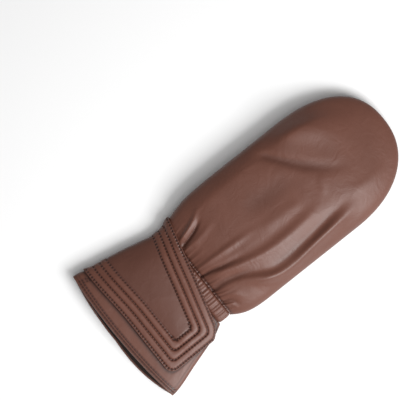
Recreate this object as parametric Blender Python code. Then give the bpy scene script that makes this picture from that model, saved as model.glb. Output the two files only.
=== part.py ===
"""Leather mitten with a gathered wrist, a flared cuff and a quilted flap, lying palm down.

+Y runs from the cuff to the fingertips, +X to the little finger, +Z up from the surface that it
lies on. The origin is under the middle of the outline. Lengths are in metres.
"""

import math
from collections import namedtuple

import bmesh
import bpy
from mathutils import Vector

# Lengths along the mitten
HAND_LENGTH = 0.2000
TIP_LENGTH = 0.0740
BAND_LENGTH = 0.0107
CUFF_LENGTH = 0.0690
HEM_BOW = 0.0037
HEM_SLANT = 0.0033
PALM_DROP = 0.0041

# Widths, and how far the middle of each lies from the middle of the hem
HAND_WIDTH = 0.1080
HAND_SHIFT = -0.0041
WRIST_WIDTH = 0.0890
WRIST_SHIFT = -0.0035
HEM_WIDTH = 0.1284
TIP_LEAN = -0.0022

# Heights above the surface that it lies on
HAND_HEIGHT = 0.0300
TIP_HEIGHT = 0.0215
WRIST_HEIGHT = 0.0180
CUFF_HEIGHT = 0.0175
WRIST_SEAM = 0.0090
HAND_SEAM = 0.0095
THUMB_SIDE_RISE = 0.0060

# Leather and the room between pieces
LEATHER = 0.0016
CLEARANCE = 0.0003
HEM_TURN = 0.0006
HEM_DEPTH = 0.0062

# Gathers of the wrist band
RIB_COUNT = 58
RIB_HEIGHT = 0.0006
BAND_PINCH = 0.0008

# Thumb, folded flat under the palm
THUMB_LENGTH = 0.0860
THUMB_WIDTH = 0.0370
THUMB_HEIGHT = 0.0090
THUMB_START = 0.0150
THUMB_INSET = 0.0090
THUMB_LEAN = math.radians(7)
THUMB_RIM = 0.0010
MOUTH_LENGTH = 0.0340
MOUTH_WIDTH = 0.0250
MOUTH_INSET = 0.0080
DRAPE_WIDTH = 0.0150
DRAPE_MARGIN = 0.0030

# Quilted flap
FLAP_THICKNESS = 0.0022
FLAP_CLEARANCE = 0.0009
FLAP_START = 0.0085
FLAP_ROOT_WIDTH = 0.0815
FLAP_END_WIDTH = 0.0520
FLAP_RISE = 0.0028
FLAP_REACH = 0.0494
FLAP_ROOT = 0.0240
FLAP_CORNER = 0.0078
FLAP_SIDE_GAP = 0.0012
STITCH_MARGIN = 0.0017
STITCH_PITCH = 0.0060
STITCH_ROWS = 4
PUFF_HEIGHT = 0.0008
GROOVE_DEPTH = 0.0006

# How round the sections are: a higher power is flatter on top and steeper at the side
BACK_POWER = 2.3
PALM_POWER = 4.0
THUMB_POWER = 3.0
TIP_POWER = 2.3
FLATTENING = 1.08

CuffSection = namedtuple("CuffSection", "along left right top")
# along: share of CUFF_LENGTH from the hem; the others: share of the way from wrist to hem
CUFF_SECTIONS = (
    CuffSection(0.00, 1.00, 1.00, 1.00),
    CuffSection(0.10, 0.90, 0.96, 0.98),
    CuffSection(0.22, 0.69, 0.87, 0.90),
    CuffSection(0.43, 0.53, 0.66, 0.70),
    CuffSection(0.66, 0.33, 0.45, 0.45),
    CuffSection(0.85, 0.14, 0.27, 0.20),
    CuffSection(1.00, 0.00, 0.04, 0.00),
)

HandSection = namedtuple("HandSection", "along left right top seam")
# along: share of the straight part of the hand; the others: share of the way from wrist to hand
HAND_SECTIONS = (
    HandSection(0.00, 0.00, 0.02, 0.00, 0.00),
    HandSection(0.05, 0.30, 0.45, 0.26, 0.14),
    HandSection(0.10, 0.50, 0.74, 0.46, 0.34),
    HandSection(0.16, 0.70, 0.92, 0.62, 0.58),
    HandSection(0.24, 0.89, 1.00, 0.77, 0.82),
    HandSection(0.40, 1.00, 1.00, 0.92, 1.00),
    HandSection(0.70, 1.00, 1.00, 1.00, 1.00),
    HandSection(1.00, 1.00, 1.00, 0.97, 0.90),
)

Fold = namedtuple("Fold", "x0 y0 x1 y1 x2 y2 height width")
# x: share of half the hand's width from its middle; y: share of HAND_LENGTH from the wrist
# height: share of HAND_HEIGHT, below 0 for a valley; width: share of HAND_WIDTH
BACK_FOLDS = (
    Fold(0.36, 0.04, 0.90, 0.27, 0.57, 0.68, -0.095, 0.050),
    Fold(0.55, 0.07, 1.00, 0.30, 0.74, 0.62, 0.050, 0.045),
    Fold(0.22, 0.07, 0.76, 0.30, 0.42, 0.62, 0.060, 0.055),
    Fold(0.10, 0.03, 0.34, 0.22, 0.34, 0.50, -0.060, 0.045),
    Fold(-0.05, 0.05, 0.08, 0.16, 0.07, 0.34, 0.050, 0.050),
    Fold(-0.42, 0.03, -0.60, 0.08, -0.78, 0.19, 0.060, 0.040),
    Fold(-0.38, 0.03, -0.46, 0.07, -0.56, 0.13, -0.060, 0.030),
    Fold(-0.82, 0.47, -0.30, 0.58, 0.12, 0.76, -0.040, 0.080),
    Fold(-0.84, 0.55, -0.45, 0.64, -0.05, 0.80, 0.035, 0.090),
    Fold(0.04, 0.34, 0.03, 0.46, 0.06, 0.60, -0.035, 0.120),
)
# Shallow creases that lift the palm off the surface, shares as above
PALM_FOLDS = (
    Fold(0.55, 0.02, 0.62, 0.12, 0.60, 0.30, 0.050, 0.050),
    Fold(0.20, 0.02, 0.24, 0.09, 0.22, 0.20, 0.045, 0.045),
    Fold(0.82, 0.30, 0.70, 0.45, 0.30, 0.55, 0.040, 0.060),
)
FOLD_STEPS = 14
FOLD_FADE = 0.22
SEAM_FADE = 0.16

# Grid of each panel
HAND_COLUMNS = 34
HAND_ROWS = 24
PALM_COLUMNS = 24
PALM_ROWS = 19
STRAIGHT_SHARE = 0.54
WRIST_CROWDING = 1.25
CUFF_COLUMNS = 28
CUFF_ROWS = 8
HEM_CROWDING = 1.2
BAND_STEPS_PER_RIB = 2
THUMB_COLUMNS = 10
THUMB_ROWS = 14
THUMB_STRAIGHT_SHARE = 0.5
MOUTH_SIDES = 28
FLAP_WRAP_COLUMNS = 17
FLAP_CENTRE_ROWS = 4

# Places that follow from the sizes
TOTAL_LENGTH = HAND_LENGTH + BAND_LENGTH + CUFF_LENGTH + HEM_BOW + PALM_DROP
Y_TIP = TOTAL_LENGTH / 2
Y_TIP_START = Y_TIP - TIP_LENGTH
Y_WRIST = Y_TIP - HAND_LENGTH
Y_BAND = Y_WRIST - BAND_LENGTH
Y_HEM = Y_BAND - CUFF_LENGTH
STRAIGHT_LENGTH = HAND_LENGTH - TIP_LENGTH
HAND_LEFT = HAND_SHIFT - HAND_WIDTH / 2
HAND_RIGHT = HAND_SHIFT + HAND_WIDTH / 2
WRIST_LEFT = WRIST_SHIFT - WRIST_WIDTH / 2
WRIST_RIGHT = WRIST_SHIFT + WRIST_WIDTH / 2
THUMB_TOP = THUMB_HEIGHT + CLEARANCE
THUMB_SIDE_SEAM = THUMB_TOP + THUMB_SIDE_RISE
FLAP_SEAT = FLAP_THICKNESS + FLAP_CLEARANCE
Y_FLAP_LOW = Y_HEM + FLAP_START
Y_FLAP_TOP = Y_FLAP_LOW + FLAP_ROOT_WIDTH
LAST_STITCH = STITCH_MARGIN + (STITCH_ROWS - 1) * STITCH_PITCH


def between(a, b, share):
    """The value that share of the way from a to b."""
    return a + (b - a) * share


def ease(x):
    """0 below 0, 1 above 1, and a smooth rise between."""
    x = min(max(x, 0.0), 1.0)
    return x * x * (3 - 2 * x)


def arch(edge, power):
    """1 in the middle of a section, 0 at its edge, where edge is 1."""
    return max(0.0, 1 - min(edge, 1.0) ** power) ** (1 / power)


def flat_arch(edge, power):
    """An arch whose top is cut off flat."""
    return min(1.0, FLATTENING * arch(edge, power))


def read(table, column, at):
    """A column of a table of sections at a place between its rows, on a smooth curve."""
    at = min(max(at, table[0].along), table[-1].along)
    i = 0
    while i < len(table) - 2 and at > table[i + 1].along:
        i += 1
    first, last = max(i - 1, 0), min(i + 2, len(table) - 1)
    places = [table[k].along for k in (first, i, i + 1, last)]
    values = [getattr(table[k], column) for k in (first, i, i + 1, last)]
    span = places[2] - places[1]
    slope_in = (values[2] - values[0]) / (places[2] - places[0])
    slope_out = (values[3] - values[1]) / (places[3] - places[1])
    u = (at - places[1]) / span
    rise = between(values[1], values[2], u * u * (3 - 2 * u))
    return rise + span * u * (1 - u) * (slope_in * (1 - u) - slope_out * u)


Section = namedtuple("Section", "left right top thumb_seam finger_seam")


def section(y):
    """The mitten's outer section at y: its sides, its height and the heights of its two side seams."""
    if y < Y_BAND:
        at = (y - Y_HEM) / CUFF_LENGTH
        return Section(
            between(WRIST_LEFT, -HEM_WIDTH / 2, read(CUFF_SECTIONS, "left", at)),
            between(WRIST_RIGHT, HEM_WIDTH / 2, read(CUFF_SECTIONS, "right", at)),
            between(WRIST_HEIGHT, CUFF_HEIGHT, read(CUFF_SECTIONS, "top", at)),
            WRIST_SEAM,
            WRIST_SEAM,
        )
    if y < Y_WRIST:
        return Section(WRIST_LEFT, WRIST_RIGHT, WRIST_HEIGHT, WRIST_SEAM, WRIST_SEAM)
    at = (y - Y_WRIST) / STRAIGHT_LENGTH
    seam = read(HAND_SECTIONS, "seam", at)
    tip = ease((y - Y_TIP_START) / TIP_LENGTH)
    top = between(WRIST_HEIGHT, HAND_HEIGHT, read(HAND_SECTIONS, "top", at))
    return Section(
        between(WRIST_LEFT, HAND_LEFT, read(HAND_SECTIONS, "left", at)),
        between(WRIST_RIGHT, HAND_RIGHT, read(HAND_SECTIONS, "right", at)),
        between(top, TIP_HEIGHT, tip),
        between(between(WRIST_SEAM, THUMB_SIDE_SEAM, seam), HAND_SEAM, tip),
        between(WRIST_SEAM, HAND_SEAM, seam),
    )


def seam_height(at, across):
    """Height of the seam's own surface, which leans from the thumb side's seam to the other."""
    return between(at.thumb_seam, at.finger_seam, (across + 1) / 2)


def fold_height(folds, x, y):
    """How far the folds lift or sink the leather at a point."""
    across = (x - HAND_SHIFT) / (HAND_WIDTH / 2)
    along = (y - Y_WRIST) / HAND_LENGTH
    total = 0.0
    for fold in folds:
        nearest, place = 1.0, 0.0
        for k in range(FOLD_STEPS + 1):
            u = k / FOLD_STEPS
            weights = (1 - u) ** 2, 2 * u * (1 - u), u * u
            fx = sum(w * c for w, c in zip(weights, (fold.x0, fold.x1, fold.x2)))
            fy = sum(w * c for w, c in zip(weights, (fold.y0, fold.y1, fold.y2)))
            gap = math.hypot((across - fx) * HAND_WIDTH / 2, (along - fy) * HAND_LENGTH)
            if gap < nearest:
                nearest, place = gap, u
        reach = nearest / (fold.width * HAND_WIDTH)
        fade = ease(place / FOLD_FADE) * ease((1 - place) / FOLD_FADE)
        total += fold.height * HAND_HEIGHT * fade * math.exp(-reach * reach)
    return total


def thumb_place(along, across):
    """A point given along the thumb from its root end and across it from its middle line."""
    start_x = HAND_LEFT + THUMB_INSET + THUMB_WIDTH / 2
    start_y = Y_WRIST + THUMB_START
    turn_x, turn_y = math.sin(THUMB_LEAN), math.cos(THUMB_LEAN)
    return start_x + along * turn_x + across * turn_y, start_y + along * turn_y - across * turn_x


def outside_thumb(x, y):
    """How far a point is outside the thumb's outline, below 0 inside it."""
    radius = THUMB_WIDTH / 2
    root, tip = Vector(thumb_place(radius, 0)), Vector(thumb_place(THUMB_LENGTH - radius, 0))
    line = tip - root
    share = min(max((Vector((x, y)) - root).dot(line) / line.length_squared, 0.0), 1.0)
    return (Vector((x, y)) - root - line * share).length - radius


def palm_low(x, y):
    """Height of the palm's lowest leather: on the surface, on the flap or over the thumb."""
    root_end = section(min(y, Y_FLAP_TOP)).left + FLAP_ROOT + DRAPE_MARGIN
    on_flap = 1 - ease((x - root_end) / DRAPE_WIDTH)
    on_flap *= 1 - ease((y - Y_FLAP_TOP - CLEARANCE) / DRAPE_WIDTH)
    over_thumb = 1 - ease((outside_thumb(x, y) - DRAPE_MARGIN) / DRAPE_WIDTH)
    creases = max(0.0, fold_height(PALM_FOLDS, x, y)) * (1 - over_thumb) * (1 - on_flap)
    return max(FLAP_SEAT * on_flap, THUMB_TOP * over_thumb) + creases


def flap_edges(across):
    """The flap's lower and upper edge at a share of the way from the thumb side to its free end."""
    low = Y_FLAP_LOW + FLAP_RISE * ease(2 * across)
    high = between(Y_FLAP_TOP, low + FLAP_END_WIDTH, across)
    return low, high


def wall(name, columns, rows, outer, inner, material):
    """A leather wall: a grid extruded into a second skin, each placed by its own function."""
    mesh = bmesh.new()
    u_layer = mesh.verts.layers.float.new("u")
    v_layer = mesh.verts.layers.float.new("v")
    bmesh.ops.create_grid(mesh, x_segments=columns, y_segments=rows, size=1)
    for vert in mesh.verts:
        vert[u_layer] = vert.co.x
        vert[v_layer] = (vert.co.y + 1) / 2
    skin = list(mesh.verts)
    made = bmesh.ops.extrude_face_region(mesh, geom=mesh.faces[:], use_keep_orig=True)
    for vert in (part for part in made["geom"] if isinstance(part, bmesh.types.BMVert)):
        vert.co = inner(vert[u_layer], vert[v_layer])
    for vert in skin:
        vert.co = outer(vert[u_layer], vert[v_layer])
    return finish(name, mesh, material)


def finish(name, mesh, material):
    """Turns a closed mesh's faces outwards and makes it a smooth-shaded object."""
    bmesh.ops.recalc_face_normals(mesh, faces=mesh.faces)
    data = bpy.data.meshes.new(name)
    mesh.to_mesh(data)
    mesh.free()
    data.shade_smooth()
    data.set_sharp_from_angle(angle=math.radians(50))
    data.materials.append(material)
    made = bpy.data.objects.new(name, data)
    bpy.context.scene.collection.objects.link(made)
    return made


def leather(name, colour, roughness):
    """A plain leather colour."""
    made = bpy.data.materials.new(name)
    made.use_nodes = True
    shader = made.node_tree.nodes["Principled BSDF"]
    shader.inputs["Base Color"].default_value = (*colour, 1)
    shader.inputs["Roughness"].default_value = roughness
    shader.inputs["Metallic"].default_value = 0
    return made


def round_end(across, forward):
    """A square's point moved onto a half disc: its place across, its place forward and its edge share."""
    place_x = across * math.sqrt(1 - forward * forward / 2)
    place_y = forward * math.sqrt(1 - across * across / 2)
    edge = math.sqrt(max(0.0, 1 - (1 - across * across) * (1 - forward * forward)))
    return place_x, place_y, edge


def fuller(across, forward):
    """How much farther out a point of the fingertips lies than it would on a half disc."""
    reach = (abs(across) ** TIP_POWER + forward**TIP_POWER) ** (1 / TIP_POWER)
    return math.hypot(across, forward) / reach


def hand_point(u, v, inset):
    """x, y, edge share, section and place across of a point of the hand's grid, inset from its outline."""
    across = math.sin(math.pi / 2 * u)
    if v <= STRAIGHT_SHARE:
        y = Y_WRIST + CLEARANCE + (STRAIGHT_LENGTH - CLEARANCE) * (v / STRAIGHT_SHARE) ** WRIST_CROWDING
        place_x, forward, edge = across, 0.0, abs(across)
    else:
        forward = math.sin(math.pi / 2 * (v - STRAIGHT_SHARE) / (1 - STRAIGHT_SHARE))
        place_x, forward, edge = round_end(across, forward)
        outward = fuller(place_x, forward)
        place_x, forward = place_x * outward, forward * outward
        y = Y_TIP_START + (TIP_LENGTH - inset) * forward
    at = section(y)
    half = (at.right - at.left) / 2 - inset
    x = (at.left + at.right) / 2 + half * place_x + TIP_LEAN * forward * forward
    return x, y, edge, at, across


def back_skin(u, v, inset):
    """A point on the back panel's outer skin, or its inner one with an inset of the leather."""
    x, y, edge, at, across = hand_point(u, v, inset)
    seam = seam_height(at, across) + CLEARANCE / 2
    share = (x - at.left) / (FLAP_REACH - at.left)
    flap_edge = flap_edges(min(max(share, 0.0), 1.0))[1]
    free = ease((1 - edge) / SEAM_FADE) * ease((y - flap_edge) / DRAPE_WIDTH)
    height = (at.top - inset - seam) * arch(edge, BACK_POWER)
    return x, y, seam + height + free * fold_height(BACK_FOLDS, x, y)


def palm_skin(u, v, inset):
    """A point on the palm panel's outer skin, or its inner one with an inset of the leather."""
    x, y, edge, at, across = hand_point(u, v, inset)
    seam = seam_height(at, across) - CLEARANCE / 2
    return x, y, seam - (seam - palm_low(x, y) - inset) * flat_arch(edge, PALM_POWER)


def hand_back(material):
    """The panel over the back of the hand."""
    return wall(
        "hand_back",
        HAND_COLUMNS,
        HAND_ROWS,
        lambda u, v: back_skin(u, v, 0.0),
        lambda u, v: back_skin(u, v, LEATHER),
        material,
    )


def hand_palm(material, mouth):
    """The palm's panel, with the thumb's mouth cut through it."""
    panel = wall(
        "hand_palm",
        PALM_COLUMNS,
        PALM_ROWS,
        lambda u, v: palm_skin(u, v, 0.0),
        lambda u, v: palm_skin(u, v, LEATHER),
        material,
    )
    cut(panel, mouth)
    return panel


def cuff_point(u, v, inset, drop):
    """x, y, edge share, section and place across of a point of the cuff; drop lengthens its hem."""
    across = math.sin(math.pi / 2 * u)
    hem = Y_HEM + HEM_SLANT * across / 2 - (HEM_BOW + drop) * (1 - across * across)
    y = between(hem, Y_BAND - CLEARANCE, v**HEM_CROWDING)
    at = section(y)
    turn = HEM_TURN * (1 - ease((y - hem - HEM_DEPTH) / HEM_DEPTH + 1 / 2))
    half = (at.right - at.left) / 2 - inset
    x = (at.left + at.right) / 2 + half * across
    return x, y, abs(across), at, across, turn if inset else 0.0


def cuff_back_skin(u, v, inset):
    """A point on the cuff's back panel; its hem is turned in, so the leather is thicker there."""
    x, y, edge, at, across, turn = cuff_point(u, v, inset, 0.0)
    seam = seam_height(at, across) + CLEARANCE / 2
    return x, y, seam + (at.top - inset - turn - seam) * arch(edge, BACK_POWER)


def cuff_palm_skin(u, v, inset):
    """A point on the cuff's palm panel, likewise."""
    x, y, edge, at, across, turn = cuff_point(u, v, inset, PALM_DROP)
    seam = seam_height(at, across) - CLEARANCE / 2
    return x, y, seam - (seam - palm_low(x, y) - inset - turn) * flat_arch(edge, PALM_POWER)


def cuff(name, skin, material):
    """One panel of the cuff."""
    return wall(
        name,
        CUFF_COLUMNS,
        CUFF_ROWS,
        lambda u, v: skin(u, v, 0.0),
        lambda u, v: skin(u, v, LEATHER),
        material,
    )


def wrist_ring(y, inset, ribs):
    """The points of one ring of the wrist band, ribbed by its gathers."""
    at = section(y)
    points = []
    steps = RIB_COUNT * BAND_STEPS_PER_RIB
    for k in range(steps):
        angle = 2 * math.pi * k / steps
        rib = ribs * math.cos(2 * math.pi * k / BAND_STEPS_PER_RIB)
        shrink = BAND_PINCH + inset - rib
        across, edge = -math.cos(angle), abs(math.cos(angle))
        seam = seam_height(at, across)
        x = (at.left + at.right) / 2 + ((at.right - at.left) / 2 - shrink) * across
        if math.sin(angle) >= 0:
            z = seam + (at.top - shrink - seam) * arch(edge, BACK_POWER)
        else:
            z = seam - (seam - palm_low(x, y) - shrink) * flat_arch(edge, PALM_POWER)
        points.append((x, y, z))
    return points


def wrist_band(material):
    """The elastic strip: ribbed rings outside, plain rings inside, bridged into a closed band."""
    low, high = Y_BAND, Y_WRIST
    rings = (
        (low, 0.0, 0.0),
        (between(low, high, 0.25), 0.0, RIB_HEIGHT),
        (between(low, high, 0.75), 0.0, RIB_HEIGHT),
        (high, 0.0, 0.0),
        (high, LEATHER, 0.0),
        (low, LEATHER, 0.0),
    )
    mesh = bmesh.new()
    loops = []
    for y, inset, ribs in rings:
        points = wrist_ring(y, inset, ribs)
        verts = [mesh.verts.new(point) for point in points]
        loops.append(verts)
    for first, second in zip(loops, loops[1:] + loops[:1]):
        for k, vert in enumerate(first):
            mesh.faces.new((first[k - 1], vert, second[k], second[k - 1]))
    return finish("wrist_band", mesh, material)


def thumb_body(name, inset, material):
    """The thumb's outer form, or its hollow with an inset of the leather."""

    def skin(u, v, side):
        across = math.sin(math.pi / 2 * u)
        end = 2 * v - 1
        radius = THUMB_WIDTH / 2 - inset
        straight = THUMB_LENGTH / 2 - THUMB_WIDTH / 2
        if abs(end) <= THUMB_STRAIGHT_SHARE:
            place_x, edge = across, abs(across)
            along = straight * end / THUMB_STRAIGHT_SHARE
        else:
            turned = (abs(end) - THUMB_STRAIGHT_SHARE) / (1 - THUMB_STRAIGHT_SHARE)
            place_x, forward, edge = round_end(across, math.sin(math.pi / 2 * turned))
            along = math.copysign(straight + radius * forward, end)
        x, y = thumb_place(THUMB_LENGTH / 2 + along, radius * place_x)
        height = (THUMB_HEIGHT - THUMB_RIM) / 2 - inset
        return x, y, THUMB_HEIGHT / 2 + side * (THUMB_RIM / 2 + height * flat_arch(edge, THUMB_POWER))

    return wall(
        name,
        THUMB_COLUMNS,
        THUMB_ROWS,
        lambda u, v: skin(u, v, 1),
        lambda u, v: skin(u, v, -1),
        material,
    )


def mouth_cutter(material):
    """An upright oval through the palm and the thumb's upper layer, where the thumb goes in."""
    low, high = THUMB_HEIGHT / 2, THUMB_TOP + 2 * LEATHER
    mesh = bmesh.new()
    made = bmesh.ops.create_circle(mesh, cap_ends=True, segments=MOUTH_SIDES, radius=1 / 2)
    for vert in made["verts"]:
        along = MOUTH_INSET + MOUTH_LENGTH / 2 + vert.co.y * MOUTH_LENGTH
        vert.co = (*thumb_place(along, vert.co.x * MOUTH_WIDTH), low)
    raised = bmesh.ops.extrude_face_region(mesh, geom=mesh.faces[:], use_keep_orig=True)
    corners = [part for part in raised["geom"] if isinstance(part, bmesh.types.BMVert)]
    bmesh.ops.translate(mesh, verts=corners, vec=(0, 0, high - low))
    return hide(finish("mouth_cutter", mesh, material))


def hide(cutter):
    """Keeps a cutter out of the model."""
    cutter.hide_render = True
    cutter.display_type = "WIRE"
    return cutter


def cut(piece, cutter):
    """Cuts one piece by another, which stays out of the model."""
    boolean = piece.modifiers.new("cut by " + cutter.name, "BOOLEAN")
    boolean.operation = "DIFFERENCE"
    boolean.solver = "EXACT"
    boolean.object = cutter


def thumb(material, mouth):
    """The hollow thumb, open through its mouth."""
    sheath = thumb_body("thumb", 0.0, material)
    hollow = hide(thumb_body("thumb_hollow", LEATHER, material))
    cut(sheath, hollow)
    cut(sheath, mouth)
    return sheath


def quilt_levels():
    """Distances from the flap's edge at which its quilting changes height, and those heights."""
    levels = [(0.0, 0.0), (STITCH_MARGIN, -GROOVE_DEPTH)]
    for row in range(1, STITCH_ROWS):
        stitch = STITCH_MARGIN + row * STITCH_PITCH
        puff = PUFF_HEIGHT if row > 1 else 0.0
        levels.append((stitch - STITCH_PITCH / 2, puff))
        levels.append((stitch, -GROOVE_DEPTH))
    levels.append((LAST_STITCH + STITCH_PITCH / 4, 0.0))
    return levels


def round_corner(end, side):
    """Moves a point near the free end's corners so that rows turn on arcs; both are edge distances."""
    if end >= FLAP_CORNER or side >= FLAP_CORNER:
        return end, side
    a, b = FLAP_CORNER - end, FLAP_CORNER - side
    scale = max(a, b) / max(math.hypot(a, b), 1e-9)
    return FLAP_CORNER - a * scale, FLAP_CORNER - b * scale


def flap_point(column, row, lift, quilted):
    """A point of the flap from its grid's column and row, lifted off the cuff that it lies on."""
    levels = quilt_levels()
    count = len(levels)
    last_row = 2 * count - 1 + FLAP_CENTRE_ROWS
    last_column = FLAP_WRAP_COLUMNS + count - 1
    side_level = min(row, last_row - row)
    end_level = last_column - column
    side = levels[side_level][0] if side_level < count else None
    end = levels[end_level][0] if end_level < count else None
    level = min(side_level, end_level)
    puff = levels[level][1] if level < count else 0.0
    rise = lift + (puff if quilted else 0.0)
    if side is not None and end is not None:
        end, side = round_corner(end, side)
    stop = FLAP_REACH - levels[-1][0] if end is None else FLAP_REACH - end
    y = (Y_FLAP_LOW + Y_FLAP_TOP) / 2
    for _ in range(3):
        at = section(y)
        middle, half = (at.left + at.right) / 2, (at.right - at.left) / 2 + rise
        limit = at.right + rise - FLAP_SIDE_GAP - (FLAP_REACH - stop)
        reach = (min(stop, limit) - middle) / half
        last_angle = math.acos(-min(max(reach, -1.0), 1.0))
        first_angle = -math.acos(max(-1.0, 1 - FLAP_ROOT / half))
        share = min(column / FLAP_WRAP_COLUMNS, 1.0)
        angle = between(first_angle, last_angle, share)
        x = middle - half * math.cos(angle)
        across = (x - at.left) / (FLAP_REACH - at.left) if angle > 0 else 0.0
        low, high = flap_edges(min(max(across, 0.0), 1.0))
        inner_low, inner_high = low + levels[-1][0], high - levels[-1][0]
        if side is None:
            y = between(inner_low, inner_high, (row - count + 1) / (FLAP_CENTRE_ROWS + 1))
        else:
            y = low + side if row < count else high - side
    across, edge = -math.cos(angle), abs(math.cos(angle))
    seam = seam_height(at, across)
    if angle >= 0:
        return x, y, seam + (at.top + rise - seam) * arch(edge, BACK_POWER)
    low_leather = max(0.0, FLAP_SEAT - rise)
    return x, y, seam - (seam - low_leather) * flat_arch(edge, PALM_POWER)


def flap(material):
    """The quilted tab, sewn to the palm side, round the thumb side and over the cuff's back."""
    count = len(quilt_levels())
    columns, rows = FLAP_WRAP_COLUMNS + count - 1, 2 * count - 1 + FLAP_CENTRE_ROWS

    def skin(u, v, lift, quilted):
        column = round((u + 1) / 2 * columns)
        return flap_point(column, round(v * rows), lift, quilted)

    return wall(
        "flap",
        columns,
        rows,
        lambda u, v: skin(u, v, FLAP_CLEARANCE + FLAP_THICKNESS, True),
        lambda u, v: skin(u, v, FLAP_CLEARANCE, False),
        material,
    )


def main():
    for old in list(bpy.data.objects):
        bpy.data.objects.remove(old)
    brown = leather("brown leather", (0.155, 0.068, 0.050), 0.42)
    quilt = leather("quilted leather", (0.140, 0.062, 0.046), 0.45)
    elastic = leather("gathered leather", (0.130, 0.056, 0.042), 0.5)
    mouth = mouth_cutter(brown)
    hand_back(brown)
    hand_palm(brown, mouth)
    thumb(brown, mouth)
    wrist_band(elastic)
    cuff("cuff_back", cuff_back_skin, brown)
    cuff("cuff_palm", cuff_palm_skin, brown)
    flap(quilt)


main()
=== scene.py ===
"""Looks of a leather mitten lying palm down: its leather panels, gathers, quilted flap and stitches.

Lengths are in metres. +Y runs from the cuff to the fingertips, +X to the little finger, +Z up.
"""

import math
from collections import namedtuple

import bmesh
import bpy
import numpy as np
from mathutils import Matrix, Vector


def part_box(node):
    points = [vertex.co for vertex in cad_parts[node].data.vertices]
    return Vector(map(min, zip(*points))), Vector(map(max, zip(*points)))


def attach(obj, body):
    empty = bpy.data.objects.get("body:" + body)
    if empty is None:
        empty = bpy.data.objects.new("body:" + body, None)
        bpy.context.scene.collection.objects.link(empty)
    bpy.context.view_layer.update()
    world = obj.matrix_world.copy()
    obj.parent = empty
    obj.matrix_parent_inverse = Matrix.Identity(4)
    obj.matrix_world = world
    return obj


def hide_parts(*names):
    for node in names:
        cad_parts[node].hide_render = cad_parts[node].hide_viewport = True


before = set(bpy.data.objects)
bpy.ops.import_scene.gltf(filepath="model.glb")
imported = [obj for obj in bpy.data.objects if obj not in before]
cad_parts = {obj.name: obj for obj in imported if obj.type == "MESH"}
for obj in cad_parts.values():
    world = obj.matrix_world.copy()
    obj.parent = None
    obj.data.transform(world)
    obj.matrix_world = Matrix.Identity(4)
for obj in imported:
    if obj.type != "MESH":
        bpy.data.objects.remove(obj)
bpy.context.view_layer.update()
HAND_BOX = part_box("hand_back")
BAND_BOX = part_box("wrist_band")
CUFF_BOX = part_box("cuff_back")
FLAP_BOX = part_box("flap")
THUMB_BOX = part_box("thumb")

bl_info = {
    "name": "Leather Mitten",
    "version": (1, 0, 0),
    "blender": (4, 5, 0),
    "location": "3D View > Sidebar > Mitten",
    "description": "Models a lined leather mitten with a gathered wrist and a quilted flap",
    "category": "Add Mesh",
}

# Lengths and places along the mitten, tied to the frame's boxes
TIP_LENGTH = 0.0740
HEM_BOW = 0.0037
HEM_SLANT = 0.0033
PALM_DROP = 0.0041
Y_TIP = HAND_BOX[1].y
Y_WRIST = BAND_BOX[1].y
Y_BAND = BAND_BOX[0].y
Y_HEM = CUFF_BOX[0].y + HEM_BOW
Y_TIP_START = Y_TIP - TIP_LENGTH
CUFF_LENGTH = Y_BAND - Y_HEM
HAND_LENGTH = Y_TIP - Y_WRIST
STRAIGHT_LENGTH = HAND_LENGTH - TIP_LENGTH

# Widths and sides, tied to the frame's boxes
BAND_PINCH = 0.0008
RIB_HEIGHT = 0.0006
HAND_LEFT, HAND_RIGHT = HAND_BOX[0].x, HAND_BOX[1].x
HAND_SHIFT = (HAND_LEFT + HAND_RIGHT) / 2
HAND_WIDTH = HAND_RIGHT - HAND_LEFT
WRIST_LEFT = BAND_BOX[0].x - BAND_PINCH + RIB_HEIGHT
WRIST_RIGHT = BAND_BOX[1].x + BAND_PINCH - RIB_HEIGHT
HEM_WIDTH = CUFF_BOX[1].x - CUFF_BOX[0].x
TIP_LEAN = -0.0022

# Heights above the surface that it lies on
HAND_HEIGHT = 0.0300
TIP_HEIGHT = 0.0215
WRIST_HEIGHT = 0.0180
CUFF_HEIGHT = 0.0175
WRIST_SEAM = 0.0090
HAND_SEAM = 0.0095
THUMB_SIDE_RISE = 0.0060

# Room between pieces
CLEARANCE = 0.0003

# Thumb, folded flat under the palm
THUMB_LENGTH = 0.0860
THUMB_WIDTH = 0.0370
THUMB_HEIGHT = THUMB_BOX[1].z
THUMB_START = 0.0150
THUMB_INSET = 0.0090
THUMB_LEAN = math.radians(7)
THUMB_RIM = 0.0010
THUMB_TOP = THUMB_HEIGHT + CLEARANCE
THUMB_SIDE_SEAM = THUMB_TOP + THUMB_SIDE_RISE
MOUTH_LENGTH = 0.0340
MOUTH_WIDTH = 0.0250
MOUTH_INSET = 0.0080
DRAPE_WIDTH = 0.0150
DRAPE_MARGIN = 0.0030

# Quilted flap
FLAP_THICKNESS = 0.0022
FLAP_CLEARANCE = 0.0009
FLAP_SEAT = FLAP_THICKNESS + FLAP_CLEARANCE
FLAP_END_WIDTH = 0.0520
FLAP_RISE = 0.0028
FLAP_ROOT = 0.0240
FLAP_CORNER = 0.0078
FLAP_SIDE_GAP = 0.0012
Y_FLAP_LOW, Y_FLAP_TOP = FLAP_BOX[0].y, FLAP_BOX[1].y
FLAP_REACH = FLAP_BOX[1].x
STITCH_MARGIN = 0.0017
STITCH_PITCH = 0.0060
STITCH_ROWS = 4
LAST_STITCH = STITCH_MARGIN + (STITCH_ROWS - 1) * STITCH_PITCH

# How round the sections are
BACK_POWER = 2.3
PALM_POWER = 4.0
THUMB_POWER = 3.0
TIP_POWER = 2.3
FLATTENING = 1.08

CuffSection = namedtuple("CuffSection", "along left right top")
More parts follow.
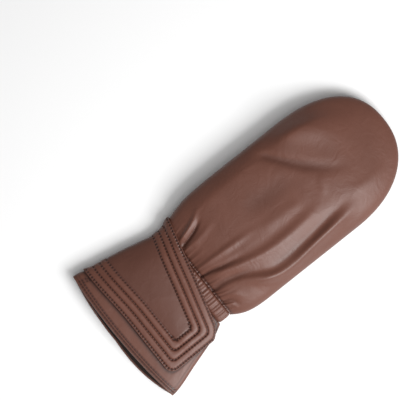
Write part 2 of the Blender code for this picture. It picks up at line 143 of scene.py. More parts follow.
# along: share of the cuff from the hem; the others: share of the way from wrist to hem
CUFF_SECTIONS = (
    CuffSection(0.00, 1.00, 1.00, 1.00),
    CuffSection(0.10, 0.90, 0.96, 0.98),
    CuffSection(0.22, 0.69, 0.87, 0.90),
    CuffSection(0.43, 0.53, 0.66, 0.70),
    CuffSection(0.66, 0.33, 0.45, 0.45),
    CuffSection(0.85, 0.14, 0.27, 0.20),
    CuffSection(1.00, 0.00, 0.04, 0.00),
)

HandSection = namedtuple("HandSection", "along left right top seam")
# along: share of the straight part of the hand; the others: share of the way from wrist to hand
HAND_SECTIONS = (
    HandSection(0.00, 0.00, 0.02, 0.00, 0.00),
    HandSection(0.05, 0.30, 0.45, 0.26, 0.14),
    HandSection(0.10, 0.50, 0.74, 0.46, 0.34),
    HandSection(0.16, 0.70, 0.92, 0.62, 0.58),
    HandSection(0.24, 0.89, 1.00, 0.77, 0.82),
    HandSection(0.40, 1.00, 1.00, 0.92, 1.00),
    HandSection(0.70, 1.00, 1.00, 1.00, 1.00),
    HandSection(1.00, 1.00, 1.00, 0.97, 0.90),
)

Fold = namedtuple("Fold", "height rise fall narrow wide path")
# height: share of HAND_HEIGHT, below 0 for a valley
# rise, fall: shares of the path that it starts and ends over
# narrow, wide: width at the path's start and end, share of HAND_WIDTH
# path: points across, share of half the hand's width from its middle,
# and along, share of HAND_LENGTH from the wrist
BACK_FOLDS = (
    # the long valley from the wrist on the little finger's side, and the ridges on both sides of it
    Fold(
        -0.062, 0.05, 0.60, 0.019, 0.036,
        ((0.37, -0.01), (0.38, 0.07), (0.44, 0.13), (0.54, 0.19), (0.63, 0.26)),
    ),
    Fold(
        -0.040, 0.30, 0.30, 0.036, 0.040,
        ((0.54, 0.19), (0.66, 0.27), (0.65, 0.43), (0.60, 0.56), (0.54, 0.70)),
    ),
    Fold(
        0.055, 0.15, 0.25, 0.020, 0.060,
        ((0.15, 0.01), (0.23, 0.08), (0.32, 0.16), (0.42, 0.29), (0.42, 0.45), (0.34, 0.62)),
    ),
    Fold(
        0.165, 0.30, 0.30, 0.040, 0.054,
        (
            (0.48, 0.08), (0.58, 0.15), (0.73, 0.21), (0.84, 0.27),
            (0.86, 0.34), (0.80, 0.46), (0.75, 0.58), (0.69, 0.72),
        ),
    ),
    # the second valley, in the middle of the wrist, and the ridges beside it
    Fold(
        -0.060, 0.05, 0.65, 0.011, 0.024,
        ((0.10, -0.01), (0.12, 0.05), (0.17, 0.10), (0.22, 0.17), (0.26, 0.24)),
    ),
    Fold(-0.012, 0.30, 0.40, 0.036, 0.048, ((0.22, 0.16), (0.28, 0.30), (0.30, 0.44), (0.29, 0.58))),
    Fold(0.045, 0.05, 0.60, 0.018, 0.032, ((-0.01, 0.00), (0.00, 0.10), (0.02, 0.20), (0.05, 0.34))),
    Fold(0.020, 0.30, 0.30, 0.040, 0.045, ((0.08, 0.28), (0.12, 0.40), (0.16, 0.56))),
    Fold(-0.034, 0.35, 0.35, 0.080, 0.100, ((-0.26, 0.26), (-0.24, 0.45), (-0.16, 0.62))),
    # the sharp fold on the thumb's side
    Fold(-0.085, 0.05, 0.45, 0.012, 0.014, ((-0.42, 0.00), (-0.46, 0.06), (-0.52, 0.11), (-0.63, 0.16))),
    Fold(0.065, 0.05, 0.60, 0.014, 0.020, ((-0.50, 0.00), (-0.54, 0.05), (-0.62, 0.11), (-0.79, 0.19))),
    Fold(0.030, 0.05, 0.60, 0.022, 0.034, ((-0.34, 0.00), (-0.36, 0.08), (-0.42, 0.15), (-0.52, 0.22))),
    # the tucks at the wrist beside the flap's free end
    Fold(0.025, 0.15, 0.50, 0.016, 0.026, ((0.45, 0.00), (0.54, 0.045), (0.66, 0.08), (0.84, 0.11))),
    Fold(-0.030, 0.10, 0.50, 0.012, 0.016, ((0.59, 0.00), (0.64, 0.035), (0.73, 0.055), (0.86, 0.062))),
    Fold(0.030, 0.10, 0.50, 0.014, 0.018, ((0.66, 0.00), (0.71, 0.028), (0.79, 0.042), (0.90, 0.048))),
    Fold(-0.018, 0.10, 0.50, 0.010, 0.014, ((0.70, -0.01), (0.76, 0.012), (0.86, 0.022))),
    # the long dent that slants across below the fingertips, and the fuller leather above it
    Fold(
        -0.058, 0.15, 0.60, 0.028, 0.055,
        ((-0.90, 0.48), (-0.61, 0.54), (-0.37, 0.59), (-0.13, 0.65), (0.08, 0.72), (0.20, 0.82)),
    ),
    Fold(
        0.170, 0.20, 0.55, 0.105, 0.140,
        ((-0.90, 0.55), (-0.82, 0.66), (-0.64, 0.75), (-0.40, 0.80), (-0.15, 0.86)),
    ),
    Fold(0.018, 0.20, 0.60, 0.050, 0.060, ((-0.78, 0.57), (-0.60, 0.605), (-0.44, 0.64), (-0.26, 0.68))),
    # the flatter places in the middle of the hand and along its thumb side
    Fold(0.022, 0.30, 0.30, 0.026, 0.028, ((-0.02, 0.64), (0.14, 0.63), (0.30, 0.60))),
    Fold(0.030, 0.30, 0.30, 0.055, 0.065, ((0.50, 0.68), (0.56, 0.78), (0.52, 0.90))),
    Fold(0.045, 0.20, 0.20, 0.095, 0.100, ((-0.74, 0.12), (-0.80, 0.32), (-0.80, 0.50))),
)
PALM_FOLDS = (
    Fold(0.050, 0.25, 0.25, 0.050, 0.050, ((0.55, 0.02), (0.61, 0.14), (0.60, 0.30))),
    Fold(0.045, 0.25, 0.25, 0.045, 0.045, ((0.20, 0.02), (0.23, 0.10), (0.22, 0.20))),
    Fold(0.040, 0.25, 0.25, 0.060, 0.060, ((0.82, 0.30), (0.63, 0.43), (0.30, 0.55))),
)
FOLD_STEPS = 60
SEAM_FADE = 0.28

Pleat = namedtuple("Pleat", "waves phase height reach")
# waves: pleats across the wrist; height at the seam and reach into the hand are in metres
WRIST_PLEATS = (
    Pleat(15.5, 2.1, 0.00030, 0.0090),
    Pleat(23.0, 4.0, 0.00040, 0.0060),
    Pleat(37.0, 1.2, 0.00035, 0.0045),
)
BAND_PLEATS = (
    Pleat(31.0, 0.4, 0.00014, 1.0),
    Pleat(57.0, 2.3, 0.00017, 1.0),
    Pleat(89.0, 5.0, 0.00017, 1.0),
)
PLEAT_WANDER = 2.2
PLEAT_WAVES = 5.0

# Side seams and the wrist's seam
SEAM_INSET = 0.0016
SEAM_GROOVE = 0.0008
SEAM_ROLL = 0.0009
WRIST_GROOVE = 0.0009
THUMB_SEAM_WIDTH = 0.03
SIDE_SEAM_INSET = 0.0036
SIDE_SEAM_WIDTH = 0.0006

# Wrist band
BAND_TUCK = 0.0016
BAND_SWELL = 0.0006

# Hem, with its two stitch rows and the vent beside which they turn up
HEM_ROWS = (0.0021, 0.0044)
HEM_RIDGE = 0.00070
HEM_LIP = 0.0010
HEM_TURN = 0.0006
HEM_DEPTH = 0.0062
PALM_SKEW = 1.5
VENT_INSET = 0.0042
VENT_HEIGHT = 0.0130

# Flap near the thumb's side: within FLAP_PRESS it sits lower and its quilting fades
FLAP_PRESS = 0.0200
PRESSED_SHARE = 0.25
SIDE_PRESS = 0.0009

# Corners of the stitch rows, which grow round from ROW_CORNER_START inside the flap's edge
ROW_CORNER = 0.0050
ROW_CORNER_START = 0.0040

# Quilting of the flap, and the dent that its edge presses in the cuff
PLAIN_MARGIN = 0.0015
FLAP_ZONE = LAST_STITCH + PLAIN_MARGIN
PUFF_SHARES = (0.30, 1.0, 1.0)
PUFF_ROUNDNESS = 0.7
RIM_GROOVE_SHARE = 0.5
CROWN_HEIGHT = 0.0009
HIDDEN_END = 0.02
FLAP_DENT = 0.0003
SETTLING_ROUNDS = 5
TURNING_ROUNDS = 6

# Painted shade in creases, fold and pleat valleys, needle holes and seams, on the flap's rim and on the cuff
# beside the flap's edge, as shares of the crease shade colour, and how far it reaches
FOLD_CREASE = 0.30
FOLD_CREASE_DEPTH = 0.0016
PLEAT_CREASE = 0.25
EDGE_CREASE = 0.20
SIDE_CREASE = 0.75
BAND_CREASE = 0.40
HEM_CREASE = 0.50
SIDE_SEAM_CREASE = 0.45
ROW_CREASE = 0.36
RIM_SHADE = 0.50
FLAP_SHADE = 0.92
FLAP_SHADE_WIDTH = 0.0023
END_SHADE_FALL = 2.2

# Share of the width at which the wrist's and the hem's rows end
ROW_END = 0.985

# Stitches: STITCH_COVER is a share of the way from hole to hole, bend and lift are in thread sizes
STITCH_COVER = 0.52
STITCH_BEND = 0.9
STITCH_LIFT = 0.10
STITCH_SIDES, STITCH_RINGS = 8, 6

# Grids: columns and rows of each panel; a crowding over 1 packs the rows at the wrist or the hem
HAND_GRID = (176, 150)
PALM_GRID = (120, 110)
STRAIGHT_SHARE = 0.52
STRAIGHT_CROWDING = 1.35
CUFF_GRID = (180, 84)
CUFF_CROWDING = 1.45
BAND_GRID = (640, 26)
THUMB_GRID = (48, 84)
THUMB_STRAIGHT_SHARE = 0.57
FLAP_GRID = (262, 126)
FLAP_WRAP_SHARE = 0.84
MOUTH_SIDES = 64
PATH_STEPS = 240

# Height in a flat sheet, 0 to 1, above which a face is the second skin's
SECOND_SKIN = 0.9

# Small distances: a step off a skin that shows which way is out, and two that count as none
LIFT_STEP = 0.0005
MERGE_DISTANCE = 1e-6
TINY = 1e-9

# Finishes: the leather's shine, how much its tone and gloss wander, and the grain's depth
LEATHER_SPECULAR = 0.49
TONE_SPREAD = 0.14
GLOSS_SPREAD = 0.06
GRAIN_DEPTH = 0.0002
CELL_SHARE = 0.6
WRINKLE_BEND = 1.2
GRAIN_INPUTS = {
    "Pore Scale": 900.0,
    "Mottle Scale": 35.0,
    "Wrinkle Scale": 80.0,
    "Wrinkle Depth": 9.0,
}
FLOOR_ROUGHNESS = 0.9
FLOOR_SPECULAR = 0.1

# Camera, which looks straight down with the mitten's fingers to the upper right
CAMERA_TURN = math.radians(51.5)
CAMERA_HEIGHT = 1.70
CAMERA_X, CAMERA_Y = -0.0483, -0.0166
PICTURE_WIDTH = 0.3294
OUTLINE_HEIGHT = 0.010
SENSOR_WIDTH = 0.036
MILLIMETRES = 1000

Light = namedtuple("Light", "name x y z size power gloss")
# gloss: whether the light shows in the leather's gloss
LIGHTS = (
    Light("key_light", 0.87, 0.17, 0.90, 0.75, 21.5, True),
    Light("fill_light", 0.25, -0.1, 1.3, 1.2, 9.0, False),
)
WORLD_LIGHT = 0.20
FLOOR_SIZE = 20.0


class MittenSizes(bpy.types.PropertyGroup):
    """Sizes that a user of the mitten would change."""

    leather: bpy.props.FloatProperty(
        name="Leather", description="Thickness of the leather with its lining", default=0.0016, unit="LENGTH"
    )
    edge_round: bpy.props.FloatProperty(
        name="Edge Round", description="Radius of the turned edges", default=0.0007, unit="LENGTH"
    )
    stitch: bpy.props.FloatProperty(
        name="Stitch", description="Length from one needle hole to the next", default=0.0028, unit="LENGTH"
    )
    thread: bpy.props.FloatProperty(
        name="Thread", description="Thickness of the sewing thread", default=0.00055, unit="LENGTH"
    )
    hole: bpy.props.FloatProperty(
        name="Needle Hole", description="Radius of each needle hole's dimple", default=0.00095, unit="LENGTH"
    )
    hole_depth: bpy.props.FloatProperty(
        name="Hole Depth", description="Depth of each needle hole's dimple", default=0.00095, unit="LENGTH"
    )
    puff: bpy.props.FloatProperty(
        name="Puff", description="Height of the flap's quilted ridges", default=0.0010, unit="LENGTH"
    )
    groove: bpy.props.FloatProperty(
        name="Groove", description="Depth of the flap's stitched grooves", default=0.0008, unit="LENGTH"
    )


class MittenColours(bpy.types.PropertyGroup):
    """Colours of the mitten's leather and thread, of its inner side, which is darkened as painted shade, of
    the painted shade in its creases, and of the floor.
    """

    leather: bpy.props.FloatVectorProperty(
        name="Leather",
        description="Colour of the smooth leather",
        default=(0.111, 0.0415, 0.0272),
        subtype="COLOR",
    )
    flap: bpy.props.FloatVectorProperty(
        name="Flap",
        description="Colour of the quilted leather",
        default=(0.112, 0.0412, 0.0268),
        subtype="COLOR",
    )
    # Painted shade: the colour that creases, needle holes, seams, the flap's rim and the cuff beside the
    # flap's edge are darkened towards
    crease_shade: bpy.props.FloatVectorProperty(
        name="Crease",
        description="Colour in creases and needle holes",
        default=(0.030, 0.011, 0.008),
        subtype="COLOR",
    )
    thread: bpy.props.FloatVectorProperty(
        name="Thread",
        description="Colour of the sewing thread",
        default=(0.095, 0.036, 0.025),
        subtype="COLOR",
    )
    # Partly the dark lining's own colour, darkened further as painted shade of the mitten's deep inside
    lining: bpy.props.FloatVectorProperty(
        name="Lining",
        description="Colour of the leather's inner side",
        default=(0.020, 0.012, 0.010),
        subtype="COLOR",
    )
    floor: bpy.props.FloatVectorProperty(
        name="Floor",
        description="Colour of the floor",
        default=(0.80, 0.80, 0.80),
        subtype="COLOR",
    )


# Form of the mitten


def between(a, b, share):
    """The value that share of the way from a to b."""
    return a + (b - a) * share


def ease(x):
    """0 below 0, 1 above 1, and a smooth rise between."""
    x = np.clip(x, 0.0, 1.0)
    return x * x * (3 - 2 * x)


def bell(x):
    """1 at 0 and falling off smoothly on both sides."""
    return np.exp(-x * x)


def arch(edge, power):
    """1 in the middle of a section, 0 at its edge, where edge is 1."""
    return np.clip(1 - np.clip(edge, 0, 1) ** power, 0, None) ** (1 / power)


def flat_arch(edge, power):
    """An arch whose top is cut off flat."""
    return np.minimum(1.0, FLATTENING * arch(edge, power))


def smooth(places, values, at):
    """Values at places between known ones, on a smooth curve."""
    at = np.clip(at, places[0], places[-1])
    i = np.clip(np.searchsorted(places, at, side="right") - 1, 0, len(places) - 2)
    before, after = np.maximum(i - 1, 0), np.minimum(i + 2, len(places) - 1)
    slope_in = (values[i + 1] - values[before]) / (places[i + 1] - places[before])
    slope_out = (values[after] - values[i]) / (places[after] - places[i])
    span = places[i + 1] - places[i]
    u = (at - places[i]) / span
    rise = between(values[i], values[i + 1], u * u * (3 - 2 * u))
    return rise + span * u * (1 - u) * (slope_in * (1 - u) - slope_out * u)


def read(table, column, at):
    """A column of a table of sections at places between its rows."""
    places = np.array([row.along for row in table])
    return smooth(places, np.array([getattr(row, column) for row in table]), at)


Section = namedtuple("Section", "left right top thumb_seam finger_seam")


def section(y):
    """The mitten's outer sections at y: sides, height and the heights of the two side seams."""
    cuff = (y - Y_HEM) / CUFF_LENGTH
    hand = (y - Y_WRIST) / STRAIGHT_LENGTH
    seam = read(HAND_SECTIONS, "seam", hand)
    tip = ease((y - Y_TIP_START) / TIP_LENGTH)
    in_cuff, in_hand = y < Y_BAND, y >= Y_WRIST

    def pick(of_cuff, of_wrist, of_hand):
        return np.where(in_cuff, of_cuff, np.where(in_hand, of_hand, of_wrist))

    hand_top = between(WRIST_HEIGHT, HAND_HEIGHT, read(HAND_SECTIONS, "top", hand))
    hand_seam = between(WRIST_SEAM, THUMB_SIDE_SEAM, seam)
    return Section(
        pick(
            between(WRIST_LEFT, -HEM_WIDTH / 2, read(CUFF_SECTIONS, "left", cuff)),
            WRIST_LEFT,
            between(WRIST_LEFT, HAND_LEFT, read(HAND_SECTIONS, "left", hand)),
        ),
        pick(
            between(WRIST_RIGHT, HEM_WIDTH / 2, read(CUFF_SECTIONS, "right", cuff)),
            WRIST_RIGHT,
            between(WRIST_RIGHT, HAND_RIGHT, read(HAND_SECTIONS, "right", hand)),
        ),
        pick(
            between(WRIST_HEIGHT, CUFF_HEIGHT, read(CUFF_SECTIONS, "top", cuff)),
            WRIST_HEIGHT,
            between(hand_top, TIP_HEIGHT, tip),
        ),
        pick(WRIST_SEAM, WRIST_SEAM, between(hand_seam, HAND_SEAM, tip)),
        pick(WRIST_SEAM, WRIST_SEAM, between(WRIST_SEAM, HAND_SEAM, seam)),
    )


def seam_height(at, across):
    """Height of the seam's own surface, which leans from the thumb side's seam to the other."""
    return between(at.thumb_seam, at.finger_seam, (across + 1) / 2)


def fold_height(folds, x, y):
    """How far the folds lift or sink the leather at each point: soft steps in a row along each fold."""
    total = np.zeros_like(x)
    u = np.linspace(0, 1, FOLD_STEPS)
    for fold in folds:
        path_x = np.array([across * HAND_WIDTH / 2 for across, along in fold.path]) + HAND_SHIFT
        path_y = np.array([along * HAND_LENGTH for across, along in fold.path]) + Y_WRIST
        places = np.concatenate([[0.0], np.cumsum(np.hypot(np.diff(path_x), np.diff(path_y)))])
        line_x, line_y = smooth(places, path_x, u * places[-1]), smooth(places, path_y, u * places[-1])
        width = between(fold.narrow, fold.wide, u) * HAND_WIDTH
        fade = ease(u / fold.rise) * ease((1 - u) / fold.fall)
        step = np.hypot(np.gradient(line_x), np.gradient(line_y))
        height = fold.height * HAND_HEIGHT * fade * step / (width * math.sqrt(math.pi))
        for k in range(FOLD_STEPS):
            total += height[k] * bell(np.hypot(x - line_x[k], y - line_y[k]) / width[k])
    return total


def pleat_height(pleats, across, depth):
    """Height of the small pleats at a place across the wrist, at a distance from its seam."""
    total = np.zeros_like(across)
    for pleat in pleats:
        wander = PLEAT_WANDER * np.sin(PLEAT_WAVES * across + pleat.phase)
        wave = np.cos(math.pi * pleat.waves * across + pleat.phase + wander)
        total += pleat.height * wave * np.exp(-depth / pleat.reach)
    return total


def rounded(distance, radius):
    """How far a turned edge falls away at a distance from it."""
    inside = np.clip(1 - distance / radius, 0, 1)
    return radius * (1 - np.sqrt(1 - inside * inside))


def thumb_place(along, across):
    """Points given along the thumb from its root end and across it from its middle line."""
    start_x = HAND_LEFT + THUMB_INSET + THUMB_WIDTH / 2
    start_y = Y_WRIST + THUMB_START
    turn_x, turn_y = math.sin(THUMB_LEAN), math.cos(THUMB_LEAN)
    return start_x + along * turn_x + across * turn_y, start_y + along * turn_y - across * turn_x


def outside_thumb(x, y):
    """How far points are outside the thumb's outline, below 0 inside it."""
    radius = THUMB_WIDTH / 2
    start_x, start_y = thumb_place(0.0, 0.0)
    turn_x, turn_y = math.sin(THUMB_LEAN), math.cos(THUMB_LEAN)
    along = (x - start_x) * turn_x + (y - start_y) * turn_y
    across = (x - start_x) * turn_y - (y - start_y) * turn_x
    nearest = np.clip(along, radius, THUMB_LENGTH - radius)
    return np.hypot(along - nearest, across) - radius


def palm_low(x, y):
    """Height of the palm's lowest leather: on the surface, on the flap or over the thumb."""
    root_end = section(np.minimum(y, Y_FLAP_TOP)).left + FLAP_ROOT + DRAPE_MARGIN
    on_flap = 1 - ease((x - root_end) / DRAPE_WIDTH)
    on_flap = on_flap * (1 - ease((y - Y_FLAP_TOP - CLEARANCE) / DRAPE_WIDTH))
    over_thumb = 1 - ease((outside_thumb(x, y) - DRAPE_MARGIN) / DRAPE_WIDTH)
    creases = np.maximum(0.0, fold_height(PALM_FOLDS, x, y)) * (1 - over_thumb) * (1 - on_flap)
    return np.maximum(FLAP_SEAT * on_flap, THUMB_TOP * over_thumb) + creases


def flap_edges(across):
    """The flap's lower and upper edge at a share of the way from the thumb side to its free end."""
    across = np.clip(across, 0, 1)
    low = Y_FLAP_LOW + FLAP_RISE * ease(2 * across)
    return low, between(Y_FLAP_TOP, low + FLAP_END_WIDTH, across)


def flap_gap(x, y, at):
    """How far points of the cuff's back are outside the flap's outline, below 0 under the flap."""
    low, high = flap_edges((x - at.left) / (FLAP_REACH - at.left))
    side = np.maximum(low - y, y - high) + FLAP_CORNER
    end = x - np.minimum(FLAP_REACH, at.right + FLAP_SEAT - FLAP_SIDE_GAP)
    end = np.maximum(end, END_SHADE_FALL * end) + FLAP_CORNER
    return np.where((side > 0) & (end > 0), np.hypot(side, end), np.maximum(side, end)) - FLAP_CORNER


def flap_cover(x, y):
    """How far points lie inside the flap's upper edge, above 0 where it covers them."""
    left = section(y).left
    return flap_edges((x - left) / (FLAP_REACH - left))[1] - y


# Skins of the hand and the cuff


def round_end(across, forward):
    """A square's points moved onto a half disc: places across, places forward and edge shares."""
    place_x = across * np.sqrt(1 - forward * forward / 2)
    place_y = forward * np.sqrt(1 - across * across / 2)
    edge = np.sqrt(np.clip(1 - (1 - across * across) * (1 - forward * forward), 0, 1))
    return place_x, place_y, edge


def fuller(across, forward):
    """How much farther out points of the fingertips lie than they would on a half disc."""
    reach = (np.abs(across) ** TIP_POWER + forward**TIP_POWER) ** (1 / TIP_POWER)
    return np.hypot(across, forward) / np.maximum(reach, CLEARANCE)


HandPoint = namedtuple("HandPoint", "x y edge at across out_x out_y")


def hand_point(u, v, inset):
    """Places, edge shares, sections and outward directions of points of the hand's grid."""
    across = np.sin(math.pi / 2 * u)
    start = Y_WRIST + CLEARANCE
    forward = np.sin(math.pi / 2 * np.clip((v - STRAIGHT_SHARE) / (1 - STRAIGHT_SHARE), 0, 1))
    place_x, place_y, edge = round_end(across, forward)
    outward = np.where(v > STRAIGHT_SHARE, fuller(place_x, place_y), 1.0)
    place_x, place_y = place_x * outward, place_y * outward
    straight = between(start, Y_TIP_START, np.clip(v / STRAIGHT_SHARE, 0, 1) ** STRAIGHT_CROWDING)
    y = np.where(v <= STRAIGHT_SHARE, straight, Y_TIP_START + (TIP_LENGTH - inset) * place_y)
    at = section(y)
    x = (at.left + at.right) / 2 + ((at.right - at.left) / 2 - inset) * place_x
    reach = np.maximum(np.hypot(place_x, place_y), CLEARANCE)
    return HandPoint(x + TIP_LEAN * place_y * place_y, y, edge, at, across, place_x / reach, place_y / reach)


def hand_row(y):
    """The place along the hand's grid at which its straight part reaches y."""
    start = Y_WRIST + CLEARANCE
    return STRAIGHT_SHARE * ((y - start) / (Y_TIP_START - start)) ** (1 / STRAIGHT_CROWDING)


def wrist_share(at, x):
    """Place across the section, from -1 to 1, which pleats follow as the hand widens."""
    return np.clip((x - (at.left + at.right) / 2) / ((at.right - at.left) / 2), -1, 1)


def wrist_edge(depth, sizes):
    """How far the hand's leather sinks at its rounded wrist edge and its seam there."""
    return rounded(depth, sizes.edge_round) + WRIST_GROOVE * bell((depth - SEAM_INSET) / sizes.thread)


def tucked(point, z, seam):
    """Points pulled in at the side seam, where the two panels roll into each other."""
    pull = SEAM_GROOVE * bell((z - seam) / SEAM_ROLL)
    return point.x - pull * point.out_x, point.y - pull * point.out_y


def back_skin(u, v, inset, sizes):
    """The back panel's outer skin, or its inner one with an inset of the leather."""
    point = hand_point(u, v, inset)
    at, depth = point.at, point.y - Y_WRIST - CLEARANCE
    seam = seam_height(at, point.across) + CLEARANCE / 2
    uncovered = -flap_cover(point.x, point.y)
    free = ease((1 - point.edge) / SEAM_FADE)
    folds = free * ease(uncovered / HEM_DEPTH + 1 / 3) * fold_height(BACK_FOLDS, point.x, point.y)
    pleats = pleat_height(WRIST_PLEATS, wrist_share(at, point.x), depth)
    pleats = free * ease(uncovered / HEM_DEPTH + 1 / 2) * pleats
    z = seam + (at.top - inset - seam) * arch(point.edge, BACK_POWER)
    if inset > 0:
        return point.x, point.y, z + folds + pleats, 0 * z
    x, y = tucked(point, z, seam)
    sink = wrist_edge(depth, sizes)
    # Painted shade: darker in pleat valleys, at the wrist's rounded edge and seam groove, in deep fold
    # valleys and along the side seam
    crease_shade = np.clip(-pleats / WRIST_PLEATS[0].height, 0, 1) * PLEAT_CREASE
    crease_shade += np.clip(sink / sizes.edge_round, 0, 1) * EDGE_CREASE
    crease_shade += FOLD_CREASE * ease(-folds / FOLD_CREASE_DEPTH)
    return x, y, z + folds + pleats - sink, crease_shade + SIDE_CREASE * bell((z - seam) / SEAM_ROLL)


def palm_skin(u, v, inset, sizes):
    """The palm panel's outer skin, or its inner one with an inset of the leather."""
    point = hand_point(u, v, inset)
    at, depth = point.at, point.y - Y_WRIST - CLEARANCE
    seam = seam_height(at, point.across) - CLEARANCE / 2
    pleats = ease((1 - point.edge) / SEAM_FADE) * pleat_height(WRIST_PLEATS, wrist_share(at, point.x), depth)
    cover = 1 - ease(flap_cover(point.x, point.y) / HEM_DEPTH)
    low = palm_low(point.x, point.y) + np.abs(pleats) * cover
    z = seam - (seam - low - inset) * flat_arch(point.edge, PALM_POWER)
    if inset > 0:
        return point.x, point.y, z, 0 * z
    x, y = tucked(point, z, seam)
    # Painted shade along the side seam
    return x, y, z + wrist_edge(depth, sizes), SIDE_CREASE * bell((z - seam) / SEAM_ROLL)


def cuff_point(u, v, inset, drop):
    """x, y, hem's y, section and place across of points of a cuff panel's grid."""
    across = np.sin(math.pi / 2 * u)
    skewed = drop * (1 + PALM_SKEW * np.clip(across, 0, 1))
    hem = Y_HEM + HEM_SLANT * across / 2 - (HEM_BOW + skewed) * (1 - across * across)
    y = between(hem, Y_BAND - CLEARANCE, v**CUFF_CROWDING)
    at = section(y)
    x = (at.left + at.right) / 2 + ((at.right - at.left) / 2 - inset) * across
    return x, y, hem, at, across


def hem_relief(depth, sizes):
    """Height of the hem's ridges between its stitch rows at a depth from the hem, and the grooves."""
    grooves = sum(bell((depth - row) / sizes.thread) for row in HEM_ROWS)
    band = ease(depth / sizes.edge_round) * (1 - ease((depth - HEM_ROWS[-1]) / sizes.thread))
    return HEM_RIDGE * band, grooves


def cuff_skin(u, v, inset, drop, sizes):
    """A cuff panel: the palm's is longer by drop at its hem, and lies below the seam."""
    x, y, hem, at, across = cuff_point(u, v, inset, drop)
    depth = y - hem
    fall = rounded(np.minimum(depth, Y_BAND - CLEARANCE - y), sizes.edge_round)
    ridges, grooves = hem_relief(depth, sizes)
    edge = np.abs(across)
    if inset > 0:
        turn = HEM_TURN * (1 - ease((depth - HEM_DEPTH) / HEM_DEPTH + 1 / 2))
        rise = fall - inset - turn
    else:
        rise = -fall - HEM_RIDGE * grooves
    if drop:
        seam = seam_height(at, across) - CLEARANCE / 2
        z = seam - (seam - palm_low(x, y) + rise) * flat_arch(edge, PALM_POWER)
        # Painted shade in the hem's stitch grooves
        return x, y, z, HEM_CREASE * grooves
    # The stripe sinks the side seam and paints shade along it
    stripe = bell((at.right - SIDE_SEAM_INSET - x) / SIDE_SEAM_WIDTH)
    seam = seam_height(at, across) + CLEARANCE / 2
    # Painted shadow on the cuff beside the flap's edge, where the flap stands off; the same mask also
    # presses a small dent
    pressed = bell(np.maximum(flap_gap(x, y, at), 0) / FLAP_SHADE_WIDTH)
    if inset <= 0:
        rise = rise + ridges - sizes.thread * stripe - FLAP_DENT * pressed
    z = seam + (at.top + rise - seam) * arch(edge, BACK_POWER)
    return x, y, z, HEM_CREASE * grooves + SIDE_SEAM_CREASE * stripe + FLAP_SHADE * pressed


# Skin of the flap


def round_corner(end, side):
    """Moves points near the free end's corners so that rows turn on arcs; both are edge distances."""
    a, b = FLAP_CORNER - end, FLAP_CORNER - side
    scale = np.maximum(a, b) / np.maximum(np.hypot(a, b), TINY)
    corner = (a > 0) & (b > 0)
    return np.where(corner, FLAP_CORNER - a * scale, end), np.where(corner, FLAP_CORNER - b * scale, side)


def edge_distances(place, row):
    """How far points are from the flap's free end and from its nearer side, up to FLAP_ZONE."""
    end = FLAP_ZONE * np.clip(2 - place, 0, 1)
    side = FLAP_ZONE * np.clip(np.minimum(row, 3 - row), 0, 1)
    return end, side


def corner_cut(nearer, gap):
    """How far a row's corner is cut at a distance inside the edge; gap is 0 on the corner's line."""
    turn = np.maximum(ROW_CORNER * ease(nearer / ROW_CORNER_START - 1), CLEARANCE)
    return np.clip(turn - np.abs(gap), 0, None) ** 2 / (4 * turn)


def flap_level(place, row):
    """How deep inside the flap's edge each point is, with rounder corners further in."""
    end, side = edge_distances(place, row)
    nearer = np.minimum(end, side)
    return nearer - corner_cut(nearer, end - side)


def quilt(level, sizes):
    """Height of the quilting at a level inside the flap's edge, and how much painted shade darkens its
    stitched grooves.
    """
    height, crease_shade = np.zeros_like(level), np.zeros_like(level)
    for row in range(STITCH_ROWS):
        stitch = STITCH_MARGIN + row * STITCH_PITCH
        groove = bell((level - stitch) / sizes.thread)
        height -= sizes.groove * groove * (RIM_GROOVE_SHARE if row == 0 else 1.0)
        crease_shade += ROW_CREASE * groove
        if row < STITCH_ROWS - 1:
            share = np.clip((level - stitch) / STITCH_PITCH, 0, 1)
            height += sizes.puff * PUFF_SHARES[row] * np.sin(math.pi * share) ** PUFF_ROUNDNESS
    inner = np.clip(level - LAST_STITCH, 0, None)
    return height + CROWN_HEIGHT / 2 * (1 - np.exp(-inner / CROWN_HEIGHT)), crease_shade


def flap_spot(place, row, lift):
    """Points of the flap: place 0 to 1 wraps the cuff and 1 to 2 ends it, row 0 to 3 crosses it."""
    end, side = round_corner(*edge_distances(place, row))
    y = np.full_like(place, (Y_FLAP_LOW + Y_FLAP_TOP) / 2)
    for _ in range(SETTLING_ROUNDS):
        at = section(y)
        middle, half = (at.left + at.right) / 2, (at.right - at.left) / 2 + lift
        stop = np.minimum(FLAP_REACH, at.right + lift - FLAP_SIDE_GAP) - end
        last = np.arccos(-np.clip((stop - middle) / half, -1, 1))
        first = -np.arccos(np.maximum(-1.0, 1 - FLAP_ROOT / half))
        angle = between(first, last, np.clip(place, 0, 1))
        x = middle - half * np.cos(angle)
        low, high = flap_edges(np.where(angle > 0, (x - at.left) / (FLAP_REACH - at.left), 0))
        centre = between(low + FLAP_ZONE, high - FLAP_ZONE, np.clip(row - 1, 0, 1))
        y = np.where(row < 1, low + side, np.where(row > 2, high - side, centre))
    across, edge = -np.cos(angle), np.abs(np.cos(angle))
    seam = seam_height(at, across)
    over = seam + (at.top + lift - seam) * arch(edge, BACK_POWER)
    under = seam - (seam - np.maximum(0.0, FLAP_SEAT - lift)) * flat_arch(edge, PALM_POWER)
    return x, y, np.where(angle >= 0, over, under)


def flap_skin(u, v, outer, sizes):
    """The flap's quilted upper skin, or its plain lower one."""
    share = (u + 1) / 2
    past_wrap = (share - FLAP_WRAP_SHARE) / (1 - FLAP_WRAP_SHARE)
    place = np.where(share < FLAP_WRAP_SHARE, share / FLAP_WRAP_SHARE, 1 + past_wrap)
    row = 3 * v
    if not outer:
        return (*flap_spot(place, row, FLAP_CLEARANCE + 0 * place), 0 * place)
    lift, crease_shade = flap_lift(place, row, sizes)
    return (*flap_spot(place, row, lift), crease_shade)


